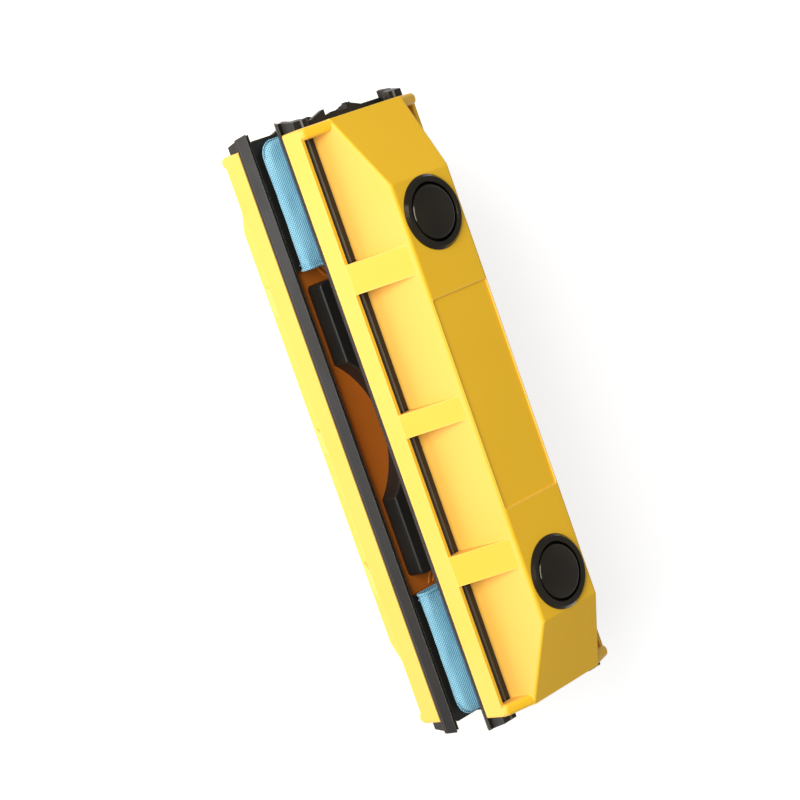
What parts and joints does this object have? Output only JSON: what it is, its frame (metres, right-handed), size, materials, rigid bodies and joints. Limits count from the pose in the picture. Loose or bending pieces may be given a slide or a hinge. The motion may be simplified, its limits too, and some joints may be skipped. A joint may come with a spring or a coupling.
{
  "type": "magnetic glass cleaner",
  "caption": "Two-sided magnetic glass cleaner: twin ribbed handle halves with rubber wipers, cloth end pads, a magnet block and push-button pad release.",
  "frame": {"origin": "centre of the pane between the two halves, which is the centre of the whole cleaner", "axes": "+X along the cleaner, +Y across it from the front side to the back side, +Z from the pane out of the upper half's handle face"},
  "size_m": [0.2512, 0.064, 0.0954],
  "materials": {
    "yellow_shell": "moulded, semi-gloss",
    "satin_black": "moulded, satin",
    "gloss_black": "gloss",
    "wiper_rubber": "extruded, matt",
    "blue_microfibre": "ribbed woven microfibre",
    "foam": "open-cell foam",
    "hook_tape": "hook tape",
    "magnet_nickel": "nickel plate",
    "keeper_steel": "zinc plate",
    "screw_steel": "zinc plate",
    "spring_steel": "drawn wire"
  },
  "bodies": {
    "lower_half": {"lower_housing": "yellow_shell", "lower_base_plate": "yellow_shell", "lower_magnet_cover": "satin_black", "lower_magnets": "magnet_nickel", "lower_keeper_plate": "keeper_steel", "lower_base_screws": "screw_steel", "lower_cover_screws": "screw_steel", "lower_front_rail": "satin_black", "lower_front_blade": "wiper_rubber", "lower_back_rail": "satin_black", "lower_back_blade": "wiper_rubber", "lower_left_button_ring": "gloss_black", "lower_left_spring": "spring_steel", "lower_right_button_ring": "gloss_black", "lower_right_spring": "spring_steel"},
    "upper_half": {"upper_housing": "yellow_shell", "upper_base_plate": "yellow_shell", "upper_magnet_cover": "satin_black", "upper_magnets": "magnet_nickel", "upper_keeper_plate": "keeper_steel", "upper_base_screws": "screw_steel", "upper_cover_screws": "screw_steel", "upper_front_rail": "satin_black", "upper_front_blade": "wiper_rubber", "upper_back_rail": "satin_black", "upper_back_blade": "wiper_rubber", "upper_left_button_ring": "gloss_black", "upper_left_spring": "spring_steel", "upper_right_button_ring": "gloss_black", "upper_right_spring": "spring_steel"},
    "lower_left_button": {"lower_left_button_cap": "gloss_black", "lower_left_plunger": "satin_black"},
    "lower_left_pad": {"lower_left_pad_holder": "satin_black", "lower_left_hook_strip": "hook_tape", "lower_left_pad_core": "foam", "lower_left_pad_sleeve": "blue_microfibre"},
    "lower_right_button": {"lower_right_button_cap": "gloss_black", "lower_right_plunger": "satin_black"},
    "lower_right_pad": {"lower_right_pad_holder": "satin_black", "lower_right_hook_strip": "hook_tape", "lower_right_pad_core": "foam", "lower_right_pad_sleeve": "blue_microfibre"},
    "upper_left_button": {"upper_left_button_cap": "gloss_black", "upper_left_plunger": "satin_black"},
    "upper_left_pad": {"upper_left_pad_holder": "satin_black", "upper_left_hook_strip": "hook_tape", "upper_left_pad_core": "foam", "upper_left_pad_sleeve": "blue_microfibre"},
    "upper_right_button": {"upper_right_button_cap": "gloss_black", "upper_right_plunger": "satin_black"},
    "upper_right_pad": {"upper_right_pad_holder": "satin_black", "upper_right_hook_strip": "hook_tape", "upper_right_pad_core": "foam", "upper_right_pad_sleeve": "blue_microfibre"}
  },
  "joints": [
    {"name": "lift_apart", "type": "slide", "parent": "lower_half", "child": "upper_half", "axis": [0, 0, 1], "range_m": [0, 0.06]},
    {"name": "lower_left_button_press", "type": "slide", "parent": "lower_half", "child": "lower_left_button", "axis": [0, 0, 1], "range_m": [0, 0.0025], "stiffness_N_per_m": 400, "springref_m": -0.004, "deforming": ["lower_left_spring"]},
    {"name": "lower_left_pad_eject", "type": "slide", "parent": "lower_half", "child": "lower_left_pad", "axis": [0, 0, 1], "range_m": [0, 0.0025]},
    {"name": "lower_right_button_press", "type": "slide", "parent": "lower_half", "child": "lower_right_button", "axis": [0, 0, 1], "range_m": [0, 0.0025], "stiffness_N_per_m": 400, "springref_m": -0.004, "deforming": ["lower_right_spring"]},
    {"name": "lower_right_pad_eject", "type": "slide", "parent": "lower_half", "child": "lower_right_pad", "axis": [0, 0, 1], "range_m": [0, 0.0025]},
    {"name": "upper_left_button_press", "type": "slide", "parent": "upper_half", "child": "upper_left_button", "axis": [0, 0, -1], "range_m": [0, 0.0025], "stiffness_N_per_m": 400, "springref_m": -0.004, "deforming": ["upper_left_spring"]},
    {"name": "upper_left_pad_eject", "type": "slide", "parent": "upper_half", "child": "upper_left_pad", "axis": [0, 0, -1], "range_m": [0, 0.0025]},
    {"name": "upper_right_button_press", "type": "slide", "parent": "upper_half", "child": "upper_right_button", "axis": [0, 0, -1], "range_m": [0, 0.0025], "stiffness_N_per_m": 400, "springref_m": -0.004, "deforming": ["upper_right_spring"]},
    {"name": "upper_right_pad_eject", "type": "slide", "parent": "upper_half", "child": "upper_right_pad", "axis": [0, 0, -1], "range_m": [0, 0.0025]}
  ],
  "couplings": [
    {"joint": "lower_left_pad_eject", "follows": "lower_left_button_press", "ratio": 1},
    {"joint": "lower_right_pad_eject", "follows": "lower_right_button_press", "ratio": 1},
    {"joint": "upper_left_pad_eject", "follows": "upper_left_button_press", "ratio": 1},
    {"joint": "upper_right_pad_eject", "follows": "upper_right_button_press", "ratio": 1}
  ]
}
